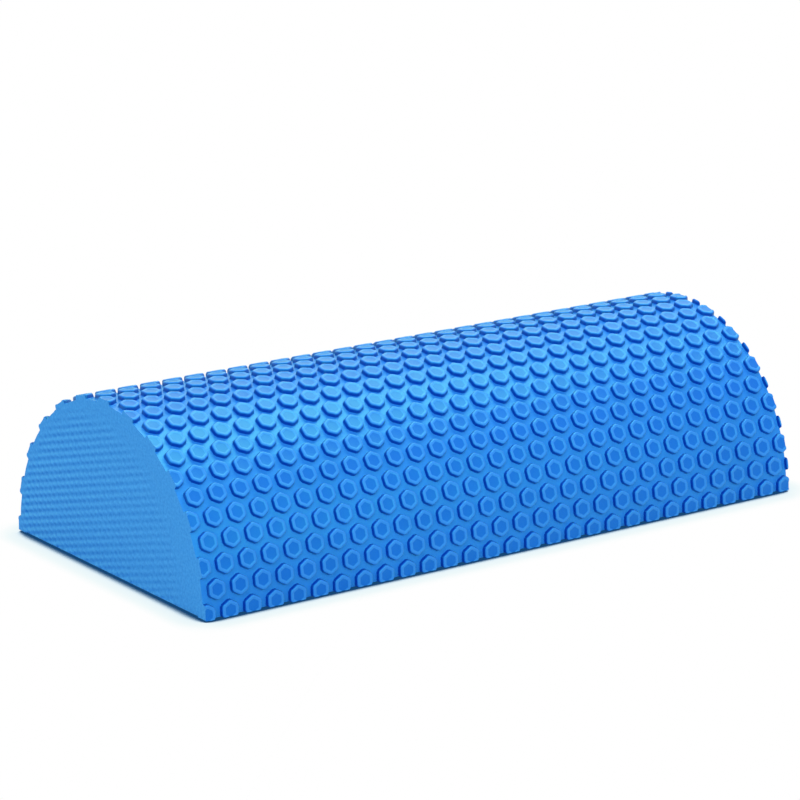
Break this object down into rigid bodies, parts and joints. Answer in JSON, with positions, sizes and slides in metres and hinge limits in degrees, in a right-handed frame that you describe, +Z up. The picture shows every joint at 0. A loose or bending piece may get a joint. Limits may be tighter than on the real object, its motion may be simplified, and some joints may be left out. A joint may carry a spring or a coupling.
{
  "type": "half round foam roller",
  "caption": "Half round exercise foam roller: a flat-bottomed half log of firm foam under an embossed skin of low hexagonal massage bumps.",
  "frame": {"origin": "middle of the flat underside", "axes": "+X along the roller, +Z up from the flat underside to the crest, -Y towards the front; it is the same from either side"},
  "size_m": [0.3, 0.148, 0.074],
  "materials": {
    "core_foam": "dull closed-cell foam with fine blade marks on its cut faces",
    "cover_foam": "satin embossed foam skin"
  },
  "bodies": {
    "root": {"foam_core": "core_foam", "bump_cover": "cover_foam"}
  },
  "joints": []
}
